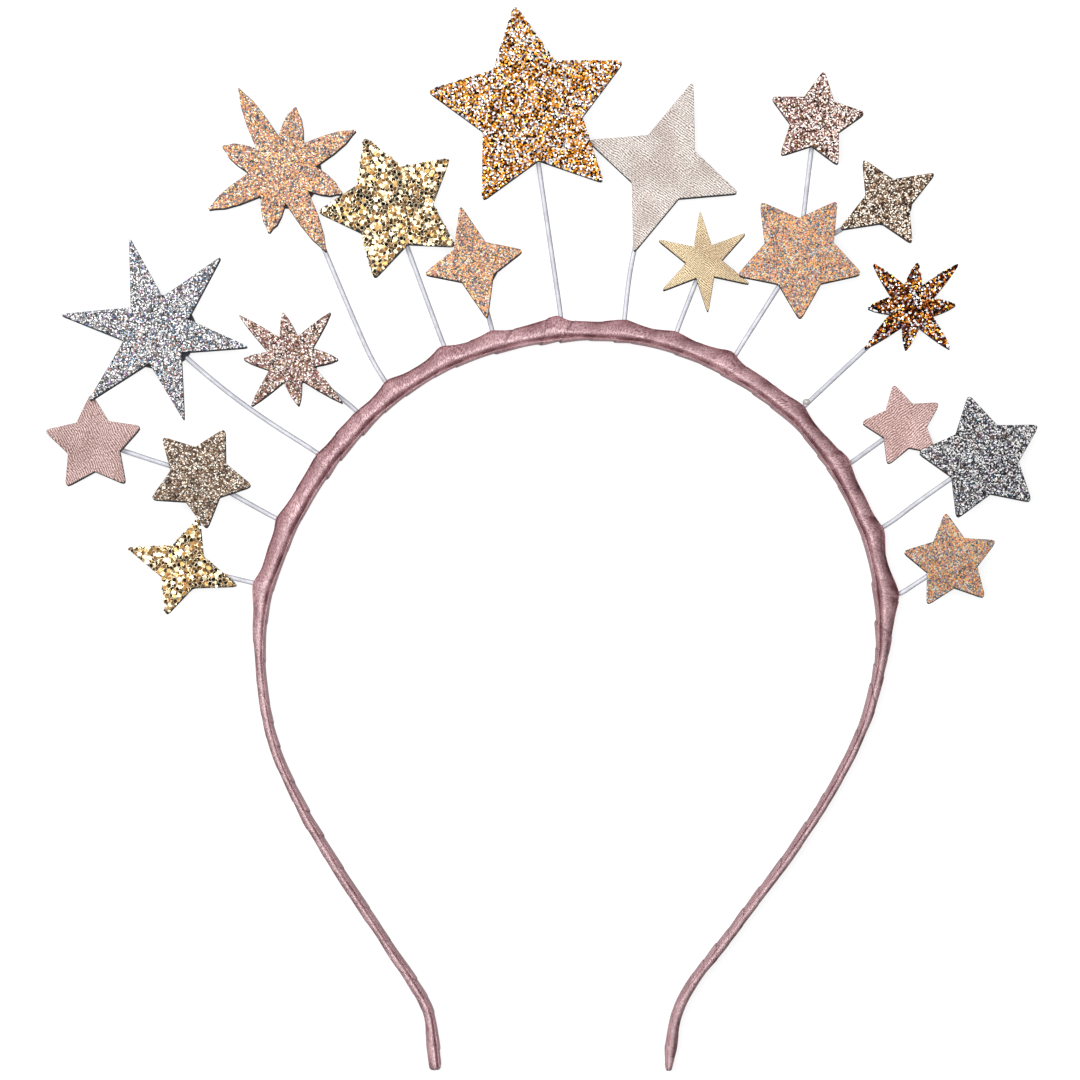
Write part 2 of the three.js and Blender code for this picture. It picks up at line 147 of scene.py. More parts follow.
# How uneven the winding is by hand: how far each edge and the crease wander, and how much the rim's width and
# the crease's depth change, with the number of bends along the band
INNER_WANDER = 0.10 * MM
INNER_BENDS = 70
OUTER_WANDER = 0.2 * MM
OUTER_BENDS = 90
RIM_CHANGE = 0.18
RIM_BENDS = 50
DEPTH_CHANGE = 0.25
DEPTH_BENDS = 60
BREAK_CHANGE = 0.45
BREAK_BENDS = 170
CREASE_WANDER = 0.16 * MM
CREASE_BENDS = 120
WAVE_STEPS = 8
WINDING_SEED = 11

# The tips: over END_ROUND from the end the winding closes, and over END_LAPS its steps die out
END_ROUND = 0.9 * MM
END_LAPS = 2 * MM

# Ribbon: its turns' mean pitch and how uneven it is as wound by hand, how far its edge stands up, and how
# a turn's surface falls from that edge back to the turn before
MEAN_PITCH = 6.6 * MM
PITCH_UNEVENNESS = 0.55
EDGE_RISE = 0.36 * MM
TURN_PHASES = (
    0, 0.02, 0.06, 0.12, 0.18, 0.24, 0.3, 0.36, 0.42, 0.48,
    0.54, 0.6, 0.66, 0.72, 0.78, 0.84, 0.9, 0.95, 0.98,
)
TURN_RISE = (
    0.7, 1, 1, 0.97, 0.93, 0.88, 0.82, 0.75, 0.67, 0.59,
    0.5, 0.41, 0.32, 0.23, 0.15, 0.08, 0.03, 0, 0,
)


def linear(code):
    """Turns an sRGB hex colour to the linear colour that shaders take."""
    parts = [int(code[k : k + 2], 16) / 255 for k in (1, 3, 5)]
    return [p / 12.92 if p <= 0.04045 else ((p + 0.055) / 1.055) ** 2.4 for p in parts] + [1.0]


def add(tree, kind, inputs=None, stops=None, **settings):
    """Adds one node. inputs gives each socket a value, or a (node, output) pair that feeds it."""
    made = tree.nodes.new(kind)
    for name, value in settings.items():
        setattr(made, name, value)
    for socket, value in (inputs or {}).items():
        if isinstance(value, tuple) and isinstance(value[0], bpy.types.Node):
            tree.links.new(value[0].outputs[value[1]], made.inputs[socket])
        else:
            made.inputs[socket].default_value = value
    if stops:
        ramp = made.color_ramp
        ramp.interpolation = stops[0]
        while len(ramp.elements) < len(stops) - 1:
            ramp.elements.new(0.5)
        for element, (place, colour) in zip(ramp.elements, stops[1:]):
            element.position = place
            element.color = linear(colour)
    return made


def ramp(tree, source, *stops):
    """A smooth colour ramp over the source, with stops of a place and a colour."""
    return add(tree, "ShaderNodeValToRGB", {0: source}, stops=("LINEAR", *stops))


def blend(tree, factor, below, above, way="MIX"):
    """Mixes two colours."""
    return add(
        tree,
        "ShaderNodeMix",
        {0: factor, 6: below, 7: above},
        data_type="RGBA",
        blend_type=way,
    )


def new_material(name):
    material = bpy.data.materials.new(name)
    material.use_nodes = True
    tree = material.node_tree
    tree.nodes.clear()
    return material, tree


def surfaced(material, tree, inputs):
    """The material, with its surface made from these inputs."""
    surface = add(tree, "ShaderNodeBsdfPrincipled", inputs)
    add(tree, "ShaderNodeOutputMaterial", {0: (surface, 0)})
    return material


def deselect():
    bpy.ops.object.select_all(action="DESELECT")


def hold(piece):
    """Makes piece the only selected object and the active one."""
    deselect()
    piece.select_set(True)
    bpy.context.view_layer.objects.active = piece


def just_added(name):
    """The object that an operator has just added, under its own name."""
    piece = bpy.context.view_layer.objects.active
    piece.name = name
    return piece


def edit(piece):
    hold(piece)
    bpy.ops.object.mode_set(mode="EDIT")
    bpy.ops.mesh.select_all(action="SELECT")


def edit_selected(piece):
    """Edits the piece with only the edges selected that were selected before."""
    hold(piece)
    bpy.ops.object.mode_set(mode="EDIT")
    bpy.ops.mesh.select_mode(type="EDGE")


def leave():
    bpy.ops.object.mode_set(mode="OBJECT")


def apply_modifier(piece, kind, **settings):
    hold(piece)
    modifier = piece.modifiers.new(kind.lower(), kind)
    for name, value in settings.items():
        setattr(modifier, name, value)
    bpy.ops.object.modifier_apply(modifier=modifier.name)


def coordinates(piece):
    flat = np.empty(len(piece.data.vertices) * 3)
    piece.data.vertices.foreach_get("co", flat)
    return flat.reshape(-1, 3)


def move_vertices(piece, places):
    piece.data.vertices.foreach_set("co", places.ravel())
    piece.data.update()


def mark(piece, name, values):
    """Gives each vertex a value that materials read by this name."""
    layer = piece.data.attributes.new(name, "FLOAT", "POINT")
    layer.data.foreach_set("value", values.astype(np.float32))


def lay_out(piece, uv, plan):
    """Gives the UV map each vertex's place on the plan."""
    loop_vertex = np.empty(len(piece.data.loops), int)
    piece.data.loops.foreach_get("vertex_index", loop_vertex)
    uv.data.foreach_set("uv", plan[loop_vertex].ravel())


def copy_of_node(node, name):
    """A merged copy of a CAD node's mesh, as a new object."""
    hold(NODES[node])
    bpy.ops.object.duplicate()
    piece = just_added(name)
    piece.parent = None
    for key in [k for k in piece.keys() if k.startswith("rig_")]:
        del piece[key]
    piece.data.materials.clear()
    edit(piece)
    bpy.ops.mesh.remove_doubles(threshold=0.002 * MM)
    leave()
    return piece


def settle(piece, node):
    """Puts a finished piece in the place of its CAD node."""
    hold(piece)
    bpy.ops.object.transform_apply(location=True, rotation=True, scale=True)
    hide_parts(node)
    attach(piece, "root")


# Materials


def satin_ribbon():
    """Woven polyester satin: long floats run with the ribbon, so a highlight breaks up into short threads."""
    material, tree = new_material("polyester satin ribbon")
    along = add(tree, "ShaderNodeUVMap", uv_map="ribbon")
    # Real threads lie about 0.1 mm apart: they are drawn 0.17 mm apart so that they show
    threads = add(tree, "ShaderNodeMapping", {0: (along, 0), "Scale": (6.0, 2.2, 1.0)})
    grain = add(
        tree,
        "ShaderNodeTexNoise",
        {"Vector": (threads, 0), "Scale": 1.0, "Detail": 1.0, "Roughness": 0.6},
        noise_dimensions="2D",
    )
    blotch = add(
        tree,
        "ShaderNodeTexNoise",
        {"Vector": (along, 0), "Scale": 0.22, "Detail": 3.0, "Roughness": 0.6},
        noise_dimensions="2D",
    )
    tone = ramp(tree, (grain, 0), (0.32, "#936569"), (0.5, "#BD9296"), (0.68, "#E2BEC1"))
    wide = ramp(tree, (blotch, 0), (0.35, "#D9CDD0"), (0.65, "#FFFFFF"))
    cloth = blend(tree, 1.0, (tone, 0), (wide, 0), "MULTIPLY")
    # Painted shadow: a dark line along the ribbon's lapped edges, broken up in patches
    lap = add(tree, "ShaderNodeAttribute", attribute_name="lap")
    broken = add(
        tree,
        "ShaderNodeMapRange",
        {0: (blotch, 0), 1: 0.45, 2: 0.58, 3: 0.0, 4: 1.0},
    )
    edge = add(tree, "ShaderNodeMath", {0: (lap, 2), 1: (broken, 0)}, operation="MULTIPLY")
    edged = blend(tree, (edge, 0), (cloth, 2), linear("#5E3640"))
    # Painted shade: the crease and the steep outer slope are darkened, in patches
    crease = add(tree, "ShaderNodeAttribute", attribute_name="crease")
    patchy = add(tree, "ShaderNodeMapRange", {0: (blotch, 0), 1: 0.36, 2: 0.6, 3: 0.85, 4: 0.3})
    deep = add(tree, "ShaderNodeMath", {0: (crease, 2), 1: (patchy, 0)}, operation="MULTIPLY")
    crease_and_slope_shaded = blend(tree, (deep, 0), (edged, 2), linear("#5A2A2F"))
    # Painted highlight: on the tight crest of the roll single threads are painted light, as if they caught
    # the light
    crest = add(tree, "ShaderNodeAttribute", attribute_name="crest")
    caught = add(tree, "ShaderNodeMapRange", {0: (grain, 0), 1: 0.42, 2: 0.6, 3: 0.15, 4: 1.0})
    glint = add(tree, "ShaderNodeMath", {0: (crest, 2), 1: (caught, 0)}, operation="MULTIPLY")
    glinting = blend(tree, (glint, 0), (crease_and_slope_shaded, 2), linear("#FBEDEE"))
    puckers = add(tree, "ShaderNodeMapping", {0: (along, 0), "Scale": (0.5, 0.16, 1.0)})
    pucker = add(
        tree,
        "ShaderNodeTexNoise",
        {"Vector": (puckers, 0), "Scale": 1.0, "Detail": 2.0},
        noise_dimensions="2D",
    )
    soft = add(tree, "ShaderNodeBump", {"Height": (pucker, 0), "Strength": 0.4, "Distance": 0.5 * MM})
    bump = add(
        tree,
        "ShaderNodeBump",
        {"Height": (grain, 0), "Strength": 1.0, "Distance": 0.12 * MM, "Normal": (soft, 0)},
    )
    lie = add(tree, "ShaderNodeTangent", direction_type="UV_MAP", uv_map="ribbon")
    return surfaced(
        material,
        tree,
        {
            "Base Color": (glinting, 2),
            "Metallic": 0.12,
            "Roughness": 0.36,
            "IOR": 1.5,
            "Anisotropic": 0.5,
            "Tangent": (lie, 0),
            "Specular IOR Level": 0.9,
            "Normal": (bump, 0),
        },
    )


def coated_wire():
    """Steel wire in a thin extruded PVC coat, pale lilac grey, with painted shade where its sides turn away
    from the light.
    """
    material, tree = new_material("extruded pvc coating")
    place = add(tree, "ShaderNodeTexCoord")
    dust = add(tree, "ShaderNodeTexNoise", {"Vector": (place, 3), "Scale": 420.0, "Detail": 3.0})
    tone = ramp(tree, (dust, 0), (0.35, "#B2B2BA"), (0.65, "#C8C8CF"))
    # Painted shade on the coat's sides, read from the side mark
    side = add(tree, "ShaderNodeAttribute", attribute_name="side")
    coat = blend(tree, (side, 2), (tone, 0), linear("#5C5C64"))
    bump = add(tree, "ShaderNodeBump", {"Height": (dust, 0), "Strength": 0.1, "Distance": 0.05 * MM})
    return surfaced(
        material,
        tree,
        {"Base Color": (coat, 2), "Roughness": 0.38, "Normal": (bump, 0)},
    )


def felt():
    """Needled polyester felt: matt, nearly black, with fine loose fibres."""
    material, tree = new_material("needled felt")
    place = add(tree, "ShaderNodeTexCoord")
    fibres = add(
        tree,
        "ShaderNodeTexNoise",
        {"Vector": (place, 3), "Scale": 2600.0, "Detail": 4.0, "Roughness": 0.7, "Distortion": 1.5},
    )
    tone = ramp(tree, (fibres, 0), (0.3, "#15181F"), (0.7, "#3A3F4A"))
    bump = add(tree, "ShaderNodeBump", {"Height": (fibres, 0), "Strength": 0.9, "Distance": 0.25 * MM})
    return surfaced(
        material,
        tree,
        {
            "Base Color": (tone, 0),
            "Roughness": 0.95,
            "Sheen Weight": 0.3,
            "Sheen Roughness": 0.6,
            "Normal": (bump, 0),
        },
    )


def backing_card():
    """Pressed felt backing board under each face sheet: dark, matt and a little fibrous where it is cut."""
    material, tree = new_material("pressed felt backing")
    place = add(tree, "ShaderNodeTexCoord")
    fibres = add(tree, "ShaderNodeTexNoise", {"Vector": (place, 3), "Scale": 1800.0, "Detail": 3.0})
    tone = ramp(tree, (fibres, 0), (0.3, "#1B1D22"), (0.7, "#3C3E44"))
    bump = add(tree, "ShaderNodeBump", {"Height": (fibres, 0), "Strength": 0.6, "Distance": 0.15 * MM})
    return surfaced(
        material,
        tree,
        {"Base Color": (tone, 0), "Roughness": 0.9, "Normal": (bump, 0)},
    )


# Glitter: grain size in mm, the tilt of the grains, how much like grains lie in patches, and shares of the
# grains in each colour; the whitest and darkest are partly the film's own colours, partly painted glints and
# painted shade
GLITTER = {
    "silver_glitter": (
        0.24,
        0.30,
        0.05,
        (
            (0.33, "#FFFEFE"),
            (0.05, "#C4C2C3"),
            (0.12, "#8C8A8C"),
            (0.18, "#525053"),
            (0.20, "#19181B"),
            (0.04, "#C47C60"),
            (0.04, "#A070BC"),
            (0.04, "#4C9CCC"),
        ),
    ),
    "champagne_glitter": (
        0.24,
        0.28,
        0.05,
        (
            (0.26, "#FFF4E4"),
            (0.12, "#BC9670"),
            (0.22, "#86603F"),
            (0.22, "#54341C"),
            (0.18, "#1C1009"),
        ),
    ),
    "gold_flakes": (
        0.5,
        0.30,
        0.2,
        (
            (0.1, "#C9A765"),
            (0.25, "#8A6430"),
            (0.35, "#4A3014"),
            (0.3, "#1A0F06"),
        ),
    ),
    "rose_glitter": (
        0.26,
        0.30,
        0.08,
        (
            (0.31, "#FFF2EA"),
            (0.10, "#CE9E8C"),
            (0.16, "#A06C5A"),
            (0.18, "#6A3629"),
            (0.15, "#260D0A"),
            (0.06, "#B08C3E"),
            (0.04, "#B97A93"),
        ),
    ),
    "peach_glitter": (
        0.25,
        0.22,
        0.5,
        (
            (0.09, "#242C32"),
            (0.20, "#626A74"),
            (0.05, "#8E6864"),
            (0.15, "#D08662"),
            (0.16, "#F6A85A"),
            (0.11, "#D08C82"),
            (0.12, "#FFD890"),
            (0.12, "#FFFBEA"),
        ),
    ),
    "bronze_glitter": (
        0.5,
        0.32,
        0.2,
        (
            (0.22, "#FFFDFA"),
            (0.10, "#A8A2AC"),
            (0.14, "#F6B048"),
            (0.17, "#CA7A1E"),
            (0.13, "#7A4210"),
            (0.12, "#341606"),
            (0.12, "#080402"),
        ),
    ),
    "copper_glitter": (
        0.5,
        0.34,
        0.2,
        (
            (0.15, "#FFFFFF"),
            (0.09, "#FAB240"),
            (0.13, "#AC5810"),
            (0.18, "#5E2406"),
            (0.22, "#280A02"),
            (0.17, "#060201"),
            (0.06, "#857C88"),
        ),
    ),
}

# How light each face comes out: partly the sheet's own tone, partly painted shade for the way its sheet lies
# to the light
FACE_TONE_AND_SHADE = {
    "silver_left": 0.7,
    "champagne_left": 0.63,
    "gold_left": 0.8,
    "pink_left": 0.7,
    "rose_eight": 0.7,
    "peach_eight": 0.73,
    "gold_top": 0.7,
    "peach_four": 0.7,
    "bronze_crown": 0.8,
    "pearl_four": 0.75,
    "gold_six": 0.76,
    "peach_right": 0.85,
    "copper_eight": 0.8,
    "pink_right": 0.87,
    "silver_right": 0.48,
    "peach_low": 0.78,
    "rose_right": 0.78,
    "champagne_right": 0.68,
}


def share_stops(shares):
    """Ramp stops that give each colour its share of the grains."""
    stops = ["CONSTANT"]
    place = 0.0
    for share, colour in shares:
        stops.append((place, colour))
        place += share
    return tuple(stops)


def toned_and_shaded(tree, colour, output):
    """The colour, times how light this star's sheet comes out: partly its own tone, partly painted shade."""
    tone = add(tree, "ShaderNodeAttribute", attribute_name="tone")
    return blend(tree, 1.0, (colour, output), (tone, 0), "MULTIPLY")


def glitter_sheet(slot):
    """Glitter film grains glued to a cloth: each grain is a flat metallised facet with its own tilt."""
    grain_mm, tilt, clump, shares = GLITTER[slot]
    material, tree = new_material(slot.replace("_", " ") + " film grains")
    place = add(tree, "ShaderNodeTexCoord")
    grains = add(
        tree,
        "ShaderNodeTexVoronoi",
        {"Vector": (place, 3), "Scale": 1.0 / (grain_mm * MM), "Randomness": 1.0},
    )
    channels = add(tree, "ShaderNodeSeparateColor", {0: (grains, 1)})
    patches = add(tree, "ShaderNodeTexNoise", {"Vector": (place, 3), "Scale": 0.8 / MM, "Detail": 2.0})
    drift = add(
        tree, "ShaderNodeMath", {0: (patches, 0), 1: clump, 2: -clump / 2}, operation="MULTIPLY_ADD"
    )
    picked = add(tree, "ShaderNodeMath", {0: (channels, 0), 1: (drift, 0)}, operation="ADD")
    tone = add(tree, "ShaderNodeValToRGB", {0: (picked, 0)}, stops=share_stops(shares))
    # Dark glue shows in the gaps between the grains
    gap = add(tree, "ShaderNodeMapRange", {0: (grains, 0), 1: 0.45, 2: 0.75, 3: 1.0, 4: 0.35})
    grained = blend(tree, 1.0, (tone, 0), (gap, 0), "MULTIPLY")
    face = toned_and_shaded(tree, grained, 2)
    centred = add(
        tree,
        "ShaderNodeVectorMath",
        {0: (grains, 1), 1: (0.5, 0.5, 0.5)},
        operation="SUBTRACT",
    )
    tilted = add(
        tree, "ShaderNodeVectorMath", {0: (centred, 0), "Scale": tilt * 2}, operation="SCALE"
    )
    facing = add(tree, "ShaderNodeNewGeometry")
    leaning = add(tree, "ShaderNodeVectorMath", {0: (tilted, 0), 1: (facing, 1)}, operation="ADD")
    normal = add(tree, "ShaderNodeVectorMath", {0: (leaning, 0)}, operation="NORMALIZE")
    return surfaced(
        material,
        tree,
        {"Base Color": (face, 2), "Metallic": 0.35, "Roughness": 0.42, "Normal": (normal, 0)},
    )


def flake_film(slot):
    """Metallised polyester film, punched to flakes: half glossy, each with a tone of its own."""
    kind = FLAKES[slot]
    material, tree = new_material(slot.replace("_", " ") + " punched film")
    which = add(tree, "ShaderNodeAttribute", attribute_name="flake")
    place = add(tree, "ShaderNodeTexCoord")
    patches = add(tree, "ShaderNodeTexNoise", {"Vector": (place, 3), "Scale": 0.3 / MM, "Detail": 1.0})
    drift = add(
        tree,
        "ShaderNodeMath",
        {0: (patches, 0), 1: kind["clump"], 2: -kind["clump"] / 2},
        operation="MULTIPLY_ADD",
    )
    picked = add(tree, "ShaderNodeMath", {0: (which, 2), 1: (drift, 0)}, operation="ADD")
    tone = add(tree, "ShaderNodeValToRGB", {0: (picked, 0)}, stops=share_stops(kind["shares"]))
    # Painted highlight: each flake's cut edge is painted lighter
    side = add(tree, "ShaderNodeAttribute", attribute_name="cut_edge")
    edge_painted_highlight = add(tree, "ShaderNodeMath", {0: (side, 2), 1: kind["edge_shine"]}, operation="MULTIPLY")
    edged = blend(tree, (edge_painted_highlight, 0), (tone, 0), linear(kind["edge"]))
    return surfaced(
        material,
        tree,
        {"Base Color": (edged, 2), "Metallic": 0.55, "Roughness": 0.3, "Specular IOR Level": 0.1},
    )


# Leather: colour in the creases, over the face and between them, size of the flecks in mm, metallic share.
# The creases lie about 2.2 times as far apart as the flecks.
LEATHER = {
    "pink_leather": ("#6C4642", "#B08B86", "#F0D2CC", 0.2, 0.2),
    "pearl_leather": ("#6E625C", "#CABAB1", "#FFFBF4", 0.19, 0.12),
    "gold_leather": ("#6E5428", "#CCAE7E", "#FFF0CC", 0.15, 0.2),
}


def foil_leather(slot):
    """Foiled split leather: fine creases that all run one way, darker in the creases and lighter on the
    ridges between them.
    """
    crease, face, ridge, fleck_mm, metallic = LEATHER[slot]
    material, tree = new_material(slot.replace("_", " ") + " with foil")
    plan = add(tree, "ShaderNodeUVMap", uv_map="grain")
    sway = add(
        tree,
        "ShaderNodeTexNoise",
        {"Vector": (plan, 0), "Scale": 0.3, "Detail": 1.0},
        noise_dimensions="2D",
    )
    shift = add(
        tree, "ShaderNodeVectorMath", {0: (sway, 1), "Scale": 1.0}, operation="SCALE"
    )
    swayed = add(tree, "ShaderNodeVectorMath", {0: (plan, 0), 1: (shift, 0)}, operation="ADD")
    # A wave texture repeats every 0.314 at scale 1
    waves = add(
        tree,
        "ShaderNodeTexWave",
        {
            "Vector": (swayed, 0),
            "Scale": 0.14 / fleck_mm,
            "Distortion": 0.8,
            "Detail": 2.0,
            "Detail Scale": 1.6,
            "Detail Roughness": 0.7,
        },
    )
    stretch = add(
        tree,
        "ShaderNodeMapping",
        {0: (swayed, 0), "Scale": (1.0 / fleck_mm, 0.55 / fleck_mm, 1.0)},
    )
    flecks = add(
        tree,
        "ShaderNodeTexNoise",
        {"Vector": (stretch, 0), "Scale": 1.0, "Detail": 1.0, "Roughness": 0.6},
        noise_dimensions="2D",
    )
    lines = add(tree, "ShaderNodeMix", {0: 0.75, 2: (waves, 1), 3: (flecks, 0)})
    tone = ramp(tree, (lines, 0), (0.33, crease), (0.5, face), (0.67, ridge))
    folds = add(
        tree,
        "ShaderNodeTexNoise",
        {"Vector": (plan, 0), "Scale": 0.14, "Detail": 1.0},
        noise_dimensions="2D",
    )
    shade = ramp(tree, (folds, 0), (0.36, "#EDE7E5"), (0.6, "#FFFFFF"))
    shaded = blend(tree, 1.0, (tone, 0), (shade, 0), "MULTIPLY")
    colour = toned_and_shaded(tree, shaded, 2)
    rolling = add(tree, "ShaderNodeBump", {"Height": (folds, 0), "Strength": 0.3, "Distance": 1.2 * MM})
    bump = add(
        tree,
        "ShaderNodeBump",
        {"Height": (lines, 0), "Strength": 0.7, "Distance": 0.06 * MM, "Normal": (rolling, 0)},
    )
    return surfaced(
        material,
        tree,
        {
            "Base Color": (colour, 2),
            "Metallic": metallic,
            "Roughness": 0.45,
            "Normal": (bump, 0),
        },
    )


# How each star's leather grain turns, in degrees from running straight up the part
GRAIN_TURN = {"pink_left": 28, "pink_right": -52, "pearl_four": 55, "gold_six": 50}


def hot_glue():
    """A bead of set hot-melt glue, cloudy and glossy."""
    material, tree = new_material("set hot melt glue")
    return surfaced(
        material,
        tree,
        {
            "Base Color": linear("#C8C6BE"),
            "Roughness": 0.18,
            "Transmission Weight": 0.3,
            "IOR": 1.48,
        },
    )


def matt_floor():
    """Painted board, white and matt."""
    material, tree = new_material("painted floor board")
    return surfaced(
        material,
        tree,
        {
            "Base Color": linear("#8C8C8C"),
            "Roughness": 0.9,
            "Emission Color": linear("#FFFFFF"),
            "Emission Strength": 0.8,
        },
    )


# The band


def smooth_line(rows, steps):
    """Points of a centripetal Catmull-Rom line through rows, with steps between each two rows."""
    rows = np.asarray(rows, float)
    padded = np.vstack([2 * rows[0] - rows[1], rows, 2 * rows[-1] - rows[-2]])
    along = np.linspace(0, 1, steps, endpoint=False)[:, None]
    pieces = []
    for p0, p1, p2, p3 in zip(padded, padded[1:], padded[2:], padded[3:]):
        d0, d1, d2 = (math.sqrt(np.linalg.norm(b - a)) for a, b in ((p0, p1), (p1, p2), (p2, p3)))
        t1 = ((p1 - p0) / d0 - (p2 - p0) / (d0 + d1) + (p2 - p1) / d1) * d1
        t2 = ((p2 - p1) / d1 - (p3 - p1) / (d1 + d2) + (p3 - p2) / d2) * d1
        a = 2 * along**3 - 3 * along**2 + 1
        b = along**3 - 2 * along**2 + along
        c = -2 * along**3 + 3 * along**2
        d = along**3 - along**2
        pieces.append(a * p1 + b * t1 + c * p2 + d * t2)
    return np.vstack(pieces + [rows[-1:]])


LINE_STEPS = 40
band_points = smooth_line(
    [(across * BAND_HALF_WIDTH, up * BAND_HEIGHT, 0) for across, up, thick in SECTIONS], LINE_STEPS
) + np.array(BAND_PLACE)
band_distance = np.concatenate([[0], np.cumsum(np.linalg.norm(np.diff(band_points, axis=0), axis=1))])
BAND_LENGTH = band_distance[-1]
row_place = np.arange(len(band_points)) / LINE_STEPS
share_in_row = row_place - np.floor(row_place)
eased_row = np.floor(row_place) + share_in_row**2 * (3 - 2 * share_in_row)
band_thickness = WINDING_THICKNESS * np.interp(
    eased_row, np.arange(len(SECTIONS)), [thick for across, up, thick in SECTIONS]
)
tangents = np.gradient(band_points, axis=0)
band_outward = np.stack([-tangents[:, 1], tangents[:, 0], np.zeros(len(tangents))], axis=1)
band_outward /= np.linalg.norm(band_outward, axis=1)[:, None]

# Where each wire leaves the band, and the lump that the ribbon makes over its end: how far before the wire
# the lump peaks, its height, and how far it takes to rise before the peak and to fall after it, all in mm
LUMPS = {
    "gold_left": (0.6, 1.1, 5.0, 3.2),
    "pink_left": (-0.6, 0.9, 3.0, 3.6),
    "silver_left": (0.4, 0.6, 3.4, 4.0),
    "rose_eight": (0.8, 0.5, 3.0, 3.0),
    "peach_eight": (-1.0, 0.9, 3.4, 3.6),
    "gold_top": (0.6, 1.1, 3.2, 3.0),
    "peach_four": (0.6, 0.9, 3.0, 3.0),
    "bronze_crown": (1.2, 1.5, 5.5, 2.2),
    "pearl_four": (0.0, 0.7, 4.0, 3.6),
    "gold_six": (0.4, 0.7, 3.2, 3.0),
    "peach_right": (0.4, 1.2, 4.0, 2.6),
    "copper_eight": (0.8, 0.8, 4.0, 3.0),
    "pink_right": (0.4, 0.9, 3.4, 3.2),
    "silver_right": (0.2, 1.0, 3.6, 3.2),
    "peach_low": (0.2, 1.2, 4.2, 3.4),
}


def along_band(columns, distance):
    """The band's points or directions at these distances along it."""
    return np.stack([np.interp(distance, band_distance, column) for column in columns.T], axis=-1)


def seat_of(name):
    """Distance along the band at which the wire of this star leaves it."""
    wire = np.array([v.co for v in NODES[f"stem_{name}"].data.vertices])
    gaps = np.linalg.norm(wire[:, None, :2] - band_points[None, :, :2], axis=2)
    return band_distance[np.unravel_index(gaps.argmin(), gaps.shape)[1]]


def lump_height(distance):
    """Extra thickness of the roll at these distances, from the wires' ends under the ribbon."""
    total = np.zeros_like(distance)
    for name, (lead, height, rise, fall) in LUMPS.items():
        away = distance - (seat_of(name) - lead * MM)
        width = np.where(away < 0, rise, fall) * MM
        total = np.maximum(total, height * MM * np.exp(-(np.abs(away / width) ** 1.6) * 1.4))
    return total


def turn_starts(rng):
    """Distances at which the ribbon's turns start along the inner edge."""
    starts = [-MEAN_PITCH]
    while starts[-1] < BAND_LENGTH + MEAN_PITCH:
        starts.append(starts[-1] + MEAN_PITCH * (1 + PITCH_UNEVENNESS * rng.uniform(-1, 1)))
    return np.array(starts)


def section_outline():
    """The outline's columns for each side of the section, once round from the middle of the inner edge."""
    front = np.array(OUTLINE)
    mirrored = np.ones(front.shape[1])
    mirrored[2:5] = -1
    around = np.vstack([front, front[-2:0:-1] * mirrored, front[:1]])
    plan = around[:, 0] * ROLL_WAY + around[:, 1] * RIM_WAY
    height = around[:, 2] - around[:, 3] - 0.3 * around[:, 4]
    lengths = np.concatenate([[0], np.cumsum(np.hypot(np.diff(plan), np.diff(height)))])
    dense = smooth_line(around, OUTLINE_STEPS)
    dense_lengths = np.interp(np.arange(len(dense)) / OUTLINE_STEPS, np.arange(len(around)), lengths)
    wanted = np.linspace(0, lengths[-1], OUTLINE_SIDES + 1)
    return np.stack([np.interp(wanted, dense_lengths, column) for column in dense.T], axis=1)


def uneven(rng, count, places):
    """A smooth random wave from -1 to 1 with this many bends, read at places from 0 to 1."""
    wave = smooth_line(rng.uniform(-1, 1, (count, 1)), WAVE_STEPS)[:, 0]
    return np.interp(places, np.linspace(0, 1, len(wave)), wave)


